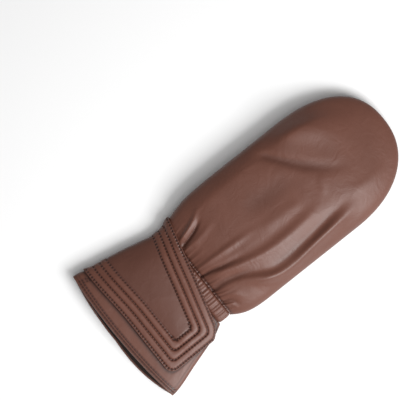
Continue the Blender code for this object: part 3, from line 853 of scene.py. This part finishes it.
def flap_lift(place, row, sizes):
    """How far the flap's quilted skin stands off the cuff, and how much painted shade darkens its grooves
    and its rounded rim.
    """
    level = flap_level(place, row)
    height, crease_shade = quilt(level, sizes)
    x, y, _ = flap_spot(place, row, FLAP_SEAT + 0 * place)
    inward = ease((x - section(y).left) / FLAP_PRESS)
    pressed = between(PRESSED_SHARE, 1.0, inward)
    seat = between(FLAP_SEAT - SIDE_PRESS, FLAP_SEAT, inward)
    crown = CROWN_HEIGHT * np.sin(math.pi * np.clip(row - 1, 0, 1)) * np.clip(2 - place, 0, 1)
    fall = rounded(level, sizes.edge_round)
    return seat + pressed * (height + crown) - fall, crease_shade + RIM_SHADE * fall / sizes.edge_round


def flap_row_path(level):
    """Places and rows along one stitch row, from the root round the free end and back to the root."""
    wrap = np.linspace(HIDDEN_END, 1, PATH_STEPS)
    t = np.linspace(FLAP_ZONE - level, level - FLAP_ZONE, PATH_STEPS)
    nearer = np.full_like(t, level)
    for _ in range(TURNING_ROUNDS):
        nearer = level + corner_cut(nearer, t)
    end, side = nearer + np.maximum(t, 0), nearer + np.maximum(-t, 0)
    place = np.concatenate([wrap[:-1], 2 - end / FLAP_ZONE])
    row = np.concatenate([np.full(PATH_STEPS - 1, level / FLAP_ZONE), side / FLAP_ZONE])
    middle = np.linspace(1, 2, PATH_STEPS)[1:-1]
    places = np.concatenate([place, np.full_like(middle, 2 - level / FLAP_ZONE), place[::-1]])
    return places, np.concatenate([row, middle, 3 - row[::-1]])


# Seams


Seam = namedtuple("Seam", "holes normals")


def sew_along(spot, path, length):
    """Needle holes at even distances along a path over a skin, with the directions out of it."""
    a, b = path
    points = np.stack(spot(a, b, 0.0)[:3], axis=1)
    steps = np.linalg.norm(np.diff(points, axis=0), axis=1)
    travelled = np.concatenate([[0.0], np.cumsum(steps)])
    even = np.linspace(0, travelled[-1], max(2, round(travelled[-1] / length)) + 1)
    a, b = np.interp(even, travelled, a), np.interp(even, travelled, b)
    holes = np.stack(spot(a, b, 0.0)[:3], axis=1)
    normals = np.stack(spot(a, b, LIFT_STEP)[:3], axis=1) - holes
    return Seam(holes, normals / np.linalg.norm(normals, axis=1)[:, None])


def prick(points, seams, sizes):
    """Sinks the points near the needle holes, and says how deep in a hole each one is."""
    nearest = np.full(len(points), 1.0)
    inward = np.zeros_like(points)
    for seam in seams:
        for hole, normal in zip(seam.holes, seam.normals):
            gap = np.linalg.norm(points - hole, axis=1)
            closer = gap < nearest
            nearest[closer] = gap[closer]
            inward[closer] = -normal
    depth = bell(nearest / sizes.hole)
    return points + inward * (sizes.hole_depth * depth)[:, None], depth


def flap_seams(sizes):
    """The flap's four nested stitch rows."""

    def spot(place, row, extra):
        return flap_spot(place, row, flap_lift(place, row, sizes)[0] + extra)

    return [
        sew_along(spot, flap_row_path(STITCH_MARGIN + row * STITCH_PITCH), sizes.stitch)
        for row in range(STITCH_ROWS)
    ]


def hem_seams(drop, sizes):
    """The two rows round a cuff panel's hem; on the back they turn up beside the vent."""

    def spot(u, depth, extra):
        y_share = depth / (Y_BAND - CLEARANCE - cuff_point(u, 0 * u, 0.0, drop)[2])
        return cuff_skin(u, y_share ** (1 / CUFF_CROWDING), -extra, drop, sizes)

    seams = []
    for depth in HEM_ROWS:
        left = -1 + 2 * (VENT_INSET + depth) / HEM_WIDTH if not drop else -1
        start = math.asin(left) / (math.pi / 2)
        side = np.linspace(start, ROW_END, PATH_STEPS)
        u, v = side, np.full(PATH_STEPS, depth)
        if not drop:
            up = np.linspace(VENT_HEIGHT, depth, PATH_STEPS)[:-1]
            u, v = np.concatenate([np.full_like(up, start), u]), np.concatenate([up, v])
        seams.append(sew_along(spot, (u, v), sizes.stitch))
    return seams


def wrist_seams(skin, sizes):
    """The row that sews the gathered hand to the wrist band."""
    across = np.linspace(-ROW_END, ROW_END, PATH_STEPS)
    row = np.full(PATH_STEPS, hand_row(Y_WRIST + CLEARANCE + SEAM_INSET))
    return [sew_along(lambda u, v, extra: skin(u, v, -extra, sizes), (across, row), sizes.stitch)]


# Building tools


def sheet_of(columns, rows, turned):
    """A flat grid extruded into two skins, the second one in slot 1 above a share of its rows."""
    mesh = bmesh.new()
    bmesh.ops.create_grid(mesh, x_segments=columns, y_segments=rows, size=1)
    made = bmesh.ops.extrude_face_region(mesh, geom=mesh.faces[:], use_keep_orig=True)
    lifted = [part for part in made["geom"] if isinstance(part, bmesh.types.BMVert)]
    bmesh.ops.translate(mesh, verts=lifted, vec=(0, 0, 1))
    for face in mesh.faces:
        middle = face.calc_center_median()
        face.material_index = int(middle.z > SECOND_SKIN and (middle.y + 1) / 2 > turned)
    return mesh


def finish(name, mesh, materials, node_names, slot):
    """Makes the piece's object, faces outwards and smooth, and ties it to the frame."""
    bmesh.ops.recalc_face_normals(mesh, faces=mesh.faces)
    data = bpy.data.meshes.new(name)
    mesh.to_mesh(data)
    mesh.free()
    data.shade_smooth()
    for material in materials:
        data.materials.append(material)
    piece = bpy.data.objects.new(name, data)
    bpy.context.scene.collection.objects.link(piece)
    if slot:
        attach(piece, "root")
    if node_names:
        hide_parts(*node_names)
    return piece


def shape(mesh, place):
    """Moves a flat grid's vertices by a function of their own coordinates, which also gives the painted
    shade in creases.
    """
    data = bpy.data.meshes.new("flat")
    mesh.to_mesh(data)
    flat = np.empty(len(data.vertices) * 3)
    data.vertices.foreach_get("co", flat)
    points, crease_shade = place(*flat.reshape(-1, 3).T)
    data.vertices.foreach_set("co", points.ravel())
    data.attributes.new("crease_shade", "FLOAT", "POINT").data.foreach_set("value", crease_shade.astype(np.float32))
    mesh.clear()
    mesh.from_mesh(data)
    bpy.data.meshes.remove(data)


def wall(name, grid, outer, inner, seams, materials, node_names, slot, turned=0.0):
    """A leather wall of two skins, pricked by its seams' needle holes."""
    sizes = bpy.context.scene.mitten_sizes

    def place(x, y, z):
        u, v, second = x, (y + 1) / 2, z > 0.5
        points, crease_shade = np.empty((len(x), 3)), np.zeros(len(x))
        *outside, depth = outer(u[~second], v[~second])
        outside, hole = prick(np.stack(outside, axis=1), seams, sizes)
        # Painted shade: the skin's own crease values plus darkening in the needle holes
        points[~second], crease_shade[~second] = outside, np.clip(depth + hole, 0, 1)
        points[second] = np.stack(inner(u[second], v[second])[:3], axis=1)
        return points, crease_shade

    mesh = sheet_of(*grid, turned)
    shape(mesh, place)
    return finish(name, mesh, materials, node_names, slot)


def stitches(name, seams, slot):
    """Sewing thread: a small bent grain of thread from each needle hole to the next."""
    sizes = bpy.context.scene.mitten_sizes
    grain = bmesh.new()
    bmesh.ops.create_uvsphere(grain, u_segments=STITCH_SIDES, v_segments=STITCH_RINGS, radius=1)
    bmesh.ops.rotate(grain, verts=grain.verts, matrix=Matrix.Rotation(math.pi / 2, 3, "Y"))
    for vert in grain.verts:
        vert.co.z = vert.co.z - STITCH_BEND * vert.co.x**2
    template = bpy.data.meshes.new("grain")
    grain.to_mesh(template)
    grain.free()
    mesh = bmesh.new()
    for seam in seams:
        for start, stop, normal in zip(seam.holes, seam.holes[1:], seam.normals):
            count = len(mesh.verts)
            mesh.from_mesh(template)
            mesh.verts.ensure_lookup_table()
            along = Vector(stop - start)
            up = Vector(normal)
            side = up.cross(along).normalized()
            up = along.cross(side).normalized()
            half = along * STITCH_COVER / 2
            turn = Matrix((half, side * sizes.thread / 2, up * sizes.thread / 2)).transposed().to_4x4()
            turn.translation = Vector((start + stop) / 2) + up * sizes.thread * STITCH_LIFT
            bmesh.ops.transform(mesh, matrix=turn, verts=mesh.verts[count:])
    for vert in mesh.verts:
        vert.co.z = max(vert.co.z, 0.0)
    bpy.data.meshes.remove(template)
    return finish(name, mesh, (finishes()["thread"],), (), slot)


# Finishes


def grain_group():
    """Node group for leather grain: fine pores, soft mottling and a height for bump."""
    group = bpy.data.node_groups.new("Leather Grain", "ShaderNodeTree")
    sockets = group.interface
    sockets.new_socket("Vector", in_out="INPUT", socket_type="NodeSocketVector")
    for name, default in GRAIN_INPUTS.items():
        sockets.new_socket(name, in_out="INPUT", socket_type="NodeSocketFloat").default_value = default
    sockets.new_socket("Height", in_out="OUTPUT", socket_type="NodeSocketFloat")
    sockets.new_socket("Mottle", in_out="OUTPUT", socket_type="NodeSocketFloat")
    nodes, links = group.nodes, group.links
    start, end = nodes.new("NodeGroupInput"), nodes.new("NodeGroupOutput")
    cells = nodes.new("ShaderNodeTexVoronoi")
    cells.feature = "SMOOTH_F1"
    pores = nodes.new("ShaderNodeTexNoise")
    pores.inputs["Detail"].default_value = 3
    mottle = nodes.new("ShaderNodeTexNoise")
    mottle.inputs["Detail"].default_value = 4
    wrinkles = nodes.new("ShaderNodeTexNoise")
    wrinkles.inputs["Detail"].default_value = 2
    wrinkles.inputs["Distortion"].default_value = WRINKLE_BEND
    scales = (
        (cells, "Pore Scale"),
        (pores, "Pore Scale"),
        (mottle, "Mottle Scale"),
        (wrinkles, "Wrinkle Scale"),
    )
    for node, scale in scales:
        links.new(start.outputs["Vector"], node.inputs["Vector"])
        links.new(start.outputs[scale], node.inputs["Scale"])
    height = nodes.new("ShaderNodeMath")
    height.operation = "MULTIPLY_ADD"
    height.inputs[1].default_value = CELL_SHARE
    links.new(cells.outputs["Distance"], height.inputs[0])
    links.new(pores.outputs["Fac"], height.inputs[2])
    relief = nodes.new("ShaderNodeMath")
    relief.operation = "MULTIPLY_ADD"
    links.new(wrinkles.outputs["Fac"], relief.inputs[0])
    links.new(start.outputs["Wrinkle Depth"], relief.inputs[1])
    links.new(height.outputs[0], relief.inputs[2])
    links.new(relief.outputs[0], end.inputs["Height"])
    links.new(mottle.outputs["Fac"], end.inputs["Mottle"])
    return group


def leather_material(name, colour, roughness, bump, group):
    """Smooth leather: mottled colour with painted shade in creases, and a fine grain in its gloss and bump.
    """
    colours = bpy.context.scene.mitten_colours
    made = bpy.data.materials.new(name)
    made.use_nodes = True
    nodes, links = made.node_tree.nodes, made.node_tree.links
    shader = nodes["Principled BSDF"]
    shader.inputs["Specular IOR Level"].default_value = LEATHER_SPECULAR
    place = nodes.new("ShaderNodeTexCoord")
    grain = nodes.new("ShaderNodeGroup")
    grain.node_tree = group
    links.new(place.outputs["Object"], grain.inputs["Vector"])
    crease_shade = nodes.new("ShaderNodeAttribute")
    crease_shade.attribute_name = "crease_shade"
    tone = nodes.new("ShaderNodeMix")
    tone.data_type = "RGBA"
    tone.inputs["A"].default_value = (*[part * (1 - TONE_SPREAD) for part in colour], 1)
    tone.inputs["B"].default_value = (*[part * (1 + TONE_SPREAD) for part in colour], 1)
    links.new(grain.outputs["Mottle"], tone.inputs["Factor"])
    # Painted shade: this mix darkens the colour towards the dark crease colour wherever the crease attribute
    # says to
    dark = nodes.new("ShaderNodeMix")
    dark.data_type = "RGBA"
    dark.inputs["B"].default_value = (*colours.crease_shade, 1)
    links.new(crease_shade.outputs["Fac"], dark.inputs["Factor"])
    links.new(tone.outputs["Result"], dark.inputs["A"])
    links.new(dark.outputs["Result"], shader.inputs["Base Color"])
    gloss = nodes.new("ShaderNodeMapRange")
    gloss.inputs["To Min"].default_value = roughness - GLOSS_SPREAD
    gloss.inputs["To Max"].default_value = roughness + GLOSS_SPREAD
    links.new(grain.outputs["Mottle"], gloss.inputs["Value"])
    links.new(gloss.outputs["Result"], shader.inputs["Roughness"])
    relief = nodes.new("ShaderNodeBump")
    relief.inputs["Strength"].default_value = bump
    relief.inputs["Distance"].default_value = GRAIN_DEPTH
    links.new(grain.outputs["Height"], relief.inputs["Height"])
    links.new(relief.outputs["Normal"], shader.inputs["Normal"])


Finish = namedtuple("Finish", "name colour roughness bump")


def finishes():
    """The mitten's materials, made once."""
    colours = bpy.context.scene.mitten_colours
    rows = (
        Finish("smooth leather", colours.leather, 0.49, 0.20),
        Finish("quilted leather", colours.flap, 0.50, 0.20),
        Finish("gathered leather", colours.leather, 0.50, 0.20),
        # The inner side's finish: near-black, partly the lining's own dark colour and partly painted shade
        # of the mitten's inside
        Finish("lining", colours.lining, 0.90, 0.60),
        Finish("thread", colours.thread, 0.75, 0.20),
    )
    if rows[0].name not in bpy.data.materials:
        group = grain_group()
        for row in rows:
            leather_material(*row, group)
    return {row.name: bpy.data.materials[row.name] for row in rows}


# Pieces


class MITTEN_OT_hand(bpy.types.Operator):
    """Models the leather panels of the hand's back and palm, with folds and wrist pleats"""

    bl_idname = "mitten.hand"
    bl_label = "Hand Panels"

    def execute(self, context):
        hand_panel("back_panel", "back_wrist_stitches", "hand_back", HAND_GRID, back_skin)
        palm = hand_panel("palm_panel", "palm_wrist_stitches", "hand_palm", PALM_GRID, palm_skin)
        cut(palm, mouth_cutter())
        return {"FINISHED"}


def hand_panel(name, sewing, node, grid, skin):
    """One panel of the hand, with the stitches that sew it to the wrist."""
    sizes, looks = bpy.context.scene.mitten_sizes, finishes()
    seams = wrist_seams(skin, sizes)
    panel = wall(
        name,
        grid,
        lambda u, v: skin(u, v, 0.0, sizes),
        lambda u, v: skin(u, v, sizes.leather, sizes),
        seams,
        # The inner skin takes the near-black inner finish, painted shade of the hand's inside
        (looks["smooth leather"], looks["lining"]),
        (node,),
        "smooth_leather",
    )
    stitches(sewing, seams, "smooth_leather")
    return panel


class MITTEN_OT_cuff(bpy.types.Operator):
    """Models the flared cuff's two panels with their turned and stitched hems"""

    bl_idname = "mitten.cuff"
    bl_label = "Cuff Panels"

    def execute(self, context):
        cuff_panel("cuff_back_panel", "cuff_back_stitches", "cuff_back", 0.0)
        cuff_panel("cuff_palm_panel", "cuff_palm_stitches", "cuff_palm", PALM_DROP)
        return {"FINISHED"}


def cuff_panel(name, sewing, node, drop):
    """One panel of the cuff, longer by drop at its hem, with the hem's stitches."""
    sizes, looks = bpy.context.scene.mitten_sizes, finishes()
    seams = hem_seams(drop, sizes)
    wall(
        name,
        CUFF_GRID,
        lambda u, v: cuff_skin(u, v, 0.0, drop, sizes),
        lambda u, v: cuff_skin(u, v, sizes.leather, drop, sizes),
        seams,
        (looks["smooth leather"], looks["lining"]),
        (node,),
        "smooth_leather",
        # Above the hem's lip the inner skin takes the near-black inner finish, painted shade of the cuff's
        # inside
        turned=(HEM_LIP / CUFF_LENGTH) ** (1 / CUFF_CROWDING),
    )
    stitches(sewing, seams, "smooth_leather")


class MITTEN_OT_band(bpy.types.Operator):
    """Models the gathered strip round the wrist"""

    bl_idname = "mitten.band"
    bl_label = "Wrist Band"

    def execute(self, context):
        sizes = context.scene.mitten_sizes
        mesh = bmesh.new()
        bmesh.ops.create_grid(mesh, x_segments=BAND_GRID[0], y_segments=BAND_GRID[1], size=1)
        shape(mesh, lambda x, y, z: band_skin(x, y, sizes))
        bmesh.ops.remove_doubles(mesh, verts=mesh.verts, dist=MERGE_DISTANCE)
        looks = (finishes()["gathered leather"],)
        finish("gathered_band", mesh, looks, ("wrist_band",), "gathered_leather")
        return {"FINISHED"}


def band_skin(x, y, sizes):
    """Points of the band's ring, outer skin up and inner skin back down, and the painted shade between its
    ribs.
    """
    angle, turn = math.pi * (x + 1), (y + 1)
    outside = turn < 1
    share = np.where(outside, turn, 2 - turn)
    here = between(Y_BAND - BAND_TUCK, Y_WRIST + BAND_TUCK, share)
    at = section(np.clip(here, Y_BAND, Y_WRIST))
    across, edge = -np.cos(angle), np.abs(np.cos(angle))
    ribs = pleat_height(BAND_PLEATS, angle / math.pi, 0 * share)
    ends = np.minimum(here - Y_BAND, Y_WRIST - here)
    fall = (sizes.leather + CLEARANCE) * (1 - ease((ends + BAND_TUCK / 2) / BAND_TUCK))
    swell = BAND_SWELL * np.sin(math.pi * share)
    shrink = np.where(outside, BAND_PINCH - ribs - swell, BAND_PINCH + sizes.leather / 2) + fall
    seam = seam_height(at, across)
    here_x = (at.left + at.right) / 2 + ((at.right - at.left) / 2 - shrink) * across
    over = seam + (at.top - shrink - seam) * arch(edge, BACK_POWER)
    low = palm_low(here_x, here) + np.maximum(shrink, 0)
    under = seam - (seam - low) * flat_arch(edge, PALM_POWER)
    crease_shade = np.where(outside, np.clip(-ribs / RIB_HEIGHT, 0, 1) * BAND_CREASE, 0)
    z = np.where(np.sin(angle) >= 0, over, under)
    return np.stack([here_x, here, z], axis=1), crease_shade


class MITTEN_OT_thumb(bpy.types.Operator):
    """Models the hollow thumb that is folded flat under the palm"""

    bl_idname = "mitten.thumb"
    bl_label = "Thumb"

    def execute(self, context):
        sizes, looks = context.scene.mitten_sizes, finishes()
        sheath = thumb_body("thumb_sheath", 0.0, (looks["smooth leather"],), ("thumb",), "smooth_leather")
        hollow = thumb_body("thumb_hollow", sizes.leather, (looks["lining"],), (), "")
        cut(sheath, hollow)
        cut(sheath, mouth_cutter())
        return {"FINISHED"}


def thumb_body(name, inset, materials, node_names, slot):
    """The thumb's outer form, or its hollow with an inset of the leather."""

    def skin(u, v, side):
        across = np.sin(math.pi / 2 * u)
        end = 2 * v - 1
        radius = THUMB_WIDTH / 2 - inset
        straight = THUMB_LENGTH / 2 - THUMB_WIDTH / 2
        turned = np.clip((np.abs(end) - THUMB_STRAIGHT_SHARE) / (1 - THUMB_STRAIGHT_SHARE), 0, 1)
        place_x, forward, edge = round_end(across, np.sin(math.pi / 2 * turned))
        run = straight * np.clip(np.abs(end) / THUMB_STRAIGHT_SHARE, 0, 1) + radius * forward
        x, y = thumb_place(THUMB_LENGTH / 2 + np.sign(end) * run, radius * place_x)
        height = (THUMB_HEIGHT - THUMB_RIM) / 2 - inset
        z = THUMB_HEIGHT / 2 + side * (THUMB_RIM / 2 + height * flat_arch(edge, THUMB_POWER))
        # Painted shade along the thumb's rim seam
        return x, y, z, SIDE_CREASE * bell((1 - edge) / THUMB_SEAM_WIDTH)

    return wall(
        name,
        THUMB_GRID,
        lambda u, v: skin(u, v, 1),
        lambda u, v: skin(u, v, -1),
        (),
        materials,
        node_names,
        slot,
    )


def mouth_cutter():
    """An upright oval through the palm and the thumb's upper layer, where the thumb goes in."""
    low, high = THUMB_HEIGHT / 2, THUMB_TOP + 2 * bpy.context.scene.mitten_sizes.leather
    mesh = bmesh.new()
    made = bmesh.ops.create_circle(mesh, cap_ends=True, segments=MOUTH_SIDES, radius=1 / 2)
    for vert in made["verts"]:
        along = MOUTH_INSET + MOUTH_LENGTH / 2 + vert.co.y * MOUTH_LENGTH
        vert.co = (*thumb_place(along, vert.co.x * MOUTH_WIDTH), low)
    raised = bmesh.ops.extrude_face_region(mesh, geom=mesh.faces[:], use_keep_orig=True)
    corners = [part for part in raised["geom"] if isinstance(part, bmesh.types.BMVert)]
    bmesh.ops.translate(mesh, verts=corners, vec=(0, 0, high - low))
    return finish("mouth_cutter", mesh, (finishes()["lining"],), (), "")


def cut(piece, cutter):
    """Cuts one piece by another, which is then removed."""
    boolean = piece.modifiers.new("cut", "BOOLEAN")
    boolean.operation = "DIFFERENCE"
    boolean.solver = "EXACT"
    boolean.object = cutter
    bpy.context.view_layer.update()
    seen = piece.evaluated_get(bpy.context.evaluated_depsgraph_get())
    data = bpy.data.meshes.new_from_object(seen)
    piece.modifiers.clear()
    piece.data = data
    bpy.data.objects.remove(cutter)


class MITTEN_OT_flap(bpy.types.Operator):
    """Models the quilted flap that wraps round the cuff, with its nested stitch rows"""

    bl_idname = "mitten.flap"
    bl_label = "Quilted Flap"

    def execute(self, context):
        sizes, looks = context.scene.mitten_sizes, finishes()
        seams = flap_seams(sizes)
        flap = wall(
            "quilted_flap",
            FLAP_GRID,
            lambda u, v: flap_skin(u, v, True, sizes),
            lambda u, v: flap_skin(u, v, False, sizes),
            seams,
            (looks["quilted leather"], looks["quilted leather"]),
            ("flap",),
            "quilted_leather",
        )
        stitches("flap_stitches", seams, "quilted_leather")
        return {"FINISHED"}


class MITTEN_OT_stage(bpy.types.Operator):
    """Adds the pale floor, the soft lights and the camera above the mitten"""

    bl_idname = "mitten.stage"
    bl_label = "Stage"

    def execute(self, context):
        mesh = bmesh.new()
        bmesh.ops.create_grid(mesh, x_segments=1, y_segments=1, size=FLOOR_SIZE)
        bmesh.ops.translate(mesh, verts=mesh.verts, vec=(0, 0, -CLEARANCE))
        floor = finish("floor", mesh, (floor_material(),), (), "")
        for light in LIGHTS:
            add_light(light)
        world = bpy.data.worlds.new("studio")
        world.use_nodes = True
        world.node_tree.nodes["Background"].inputs["Color"].default_value = (1, 1, 1, 1)
        world.node_tree.nodes["Background"].inputs["Strength"].default_value = WORLD_LIGHT
        context.scene.world = world
        add_camera()
        context.scene.view_settings.view_transform = "Standard"
        return {"FINISHED"}


def floor_material():
    """Paint of the floor: plain, pale and dull."""
    floor = bpy.data.materials.new("floor")
    floor.use_nodes = True
    shader = floor.node_tree.nodes["Principled BSDF"]
    shader.inputs["Base Color"].default_value = (*bpy.context.scene.mitten_colours.floor, 1)
    shader.inputs["Roughness"].default_value = FLOOR_ROUGHNESS
    shader.inputs["Specular IOR Level"].default_value = FLOOR_SPECULAR
    return floor


def add_camera():
    """The camera straight above the mitten, which frames PICTURE_WIDTH at the outline's height."""
    data = bpy.data.cameras.new("camera")
    data.sensor_width = SENSOR_WIDTH * MILLIMETRES
    distance = CAMERA_HEIGHT - OUTLINE_HEIGHT
    data.lens = SENSOR_WIDTH * MILLIMETRES * distance / PICTURE_WIDTH
    camera = bpy.data.objects.new("camera", data)
    camera.location = (CAMERA_X, CAMERA_Y, CAMERA_HEIGHT)
    camera.rotation_euler = (0, 0, CAMERA_TURN)
    bpy.context.scene.collection.objects.link(camera)
    bpy.context.scene.camera = camera


def add_light(row):
    """A square soft light that faces the mitten."""
    data = bpy.data.lights.new(row.name, "AREA")
    data.size = row.size
    data.energy = row.power
    light = bpy.data.objects.new(row.name, data)
    light.location = (row.x, row.y, row.z)
    light.visible_glossy = row.gloss
    light.rotation_euler = (-light.location).to_track_quat("-Z", "Y").to_euler()
    bpy.context.scene.collection.objects.link(light)


STEPS = (
    MITTEN_OT_stage,
    MITTEN_OT_hand,
    MITTEN_OT_cuff,
    MITTEN_OT_band,
    MITTEN_OT_thumb,
    MITTEN_OT_flap,
)


class MITTEN_PT_sidebar(bpy.types.Panel):
    """Lists the mitten's pieces in the sidebar"""

    bl_idname = "MITTEN_PT_sidebar"
    bl_label = "Leather Mitten"
    bl_space_type = "VIEW_3D"
    bl_region_type = "UI"
    bl_category = "Mitten"

    def draw(self, context):
        for step in STEPS:
            self.layout.operator(step.bl_idname)


CLASSES = (MittenSizes, MittenColours, *STEPS, MITTEN_PT_sidebar)


def register():
    for each in CLASSES:
        bpy.utils.register_class(each)
    bpy.types.Scene.mitten_sizes = bpy.props.PointerProperty(type=MittenSizes)
    bpy.types.Scene.mitten_colours = bpy.props.PointerProperty(type=MittenColours)


def unregister():
    del bpy.types.Scene.mitten_colours
    del bpy.types.Scene.mitten_sizes
    for each in reversed(CLASSES):
        bpy.utils.unregister_class(each)


def main():
    """Builds the whole mitten."""
    register()
    bpy.ops.mitten.stage()
    bpy.ops.mitten.hand()
    bpy.ops.mitten.cuff()
    bpy.ops.mitten.band()
    bpy.ops.mitten.thumb()
    bpy.ops.mitten.flap()


if __name__ == "__main__":
    main()
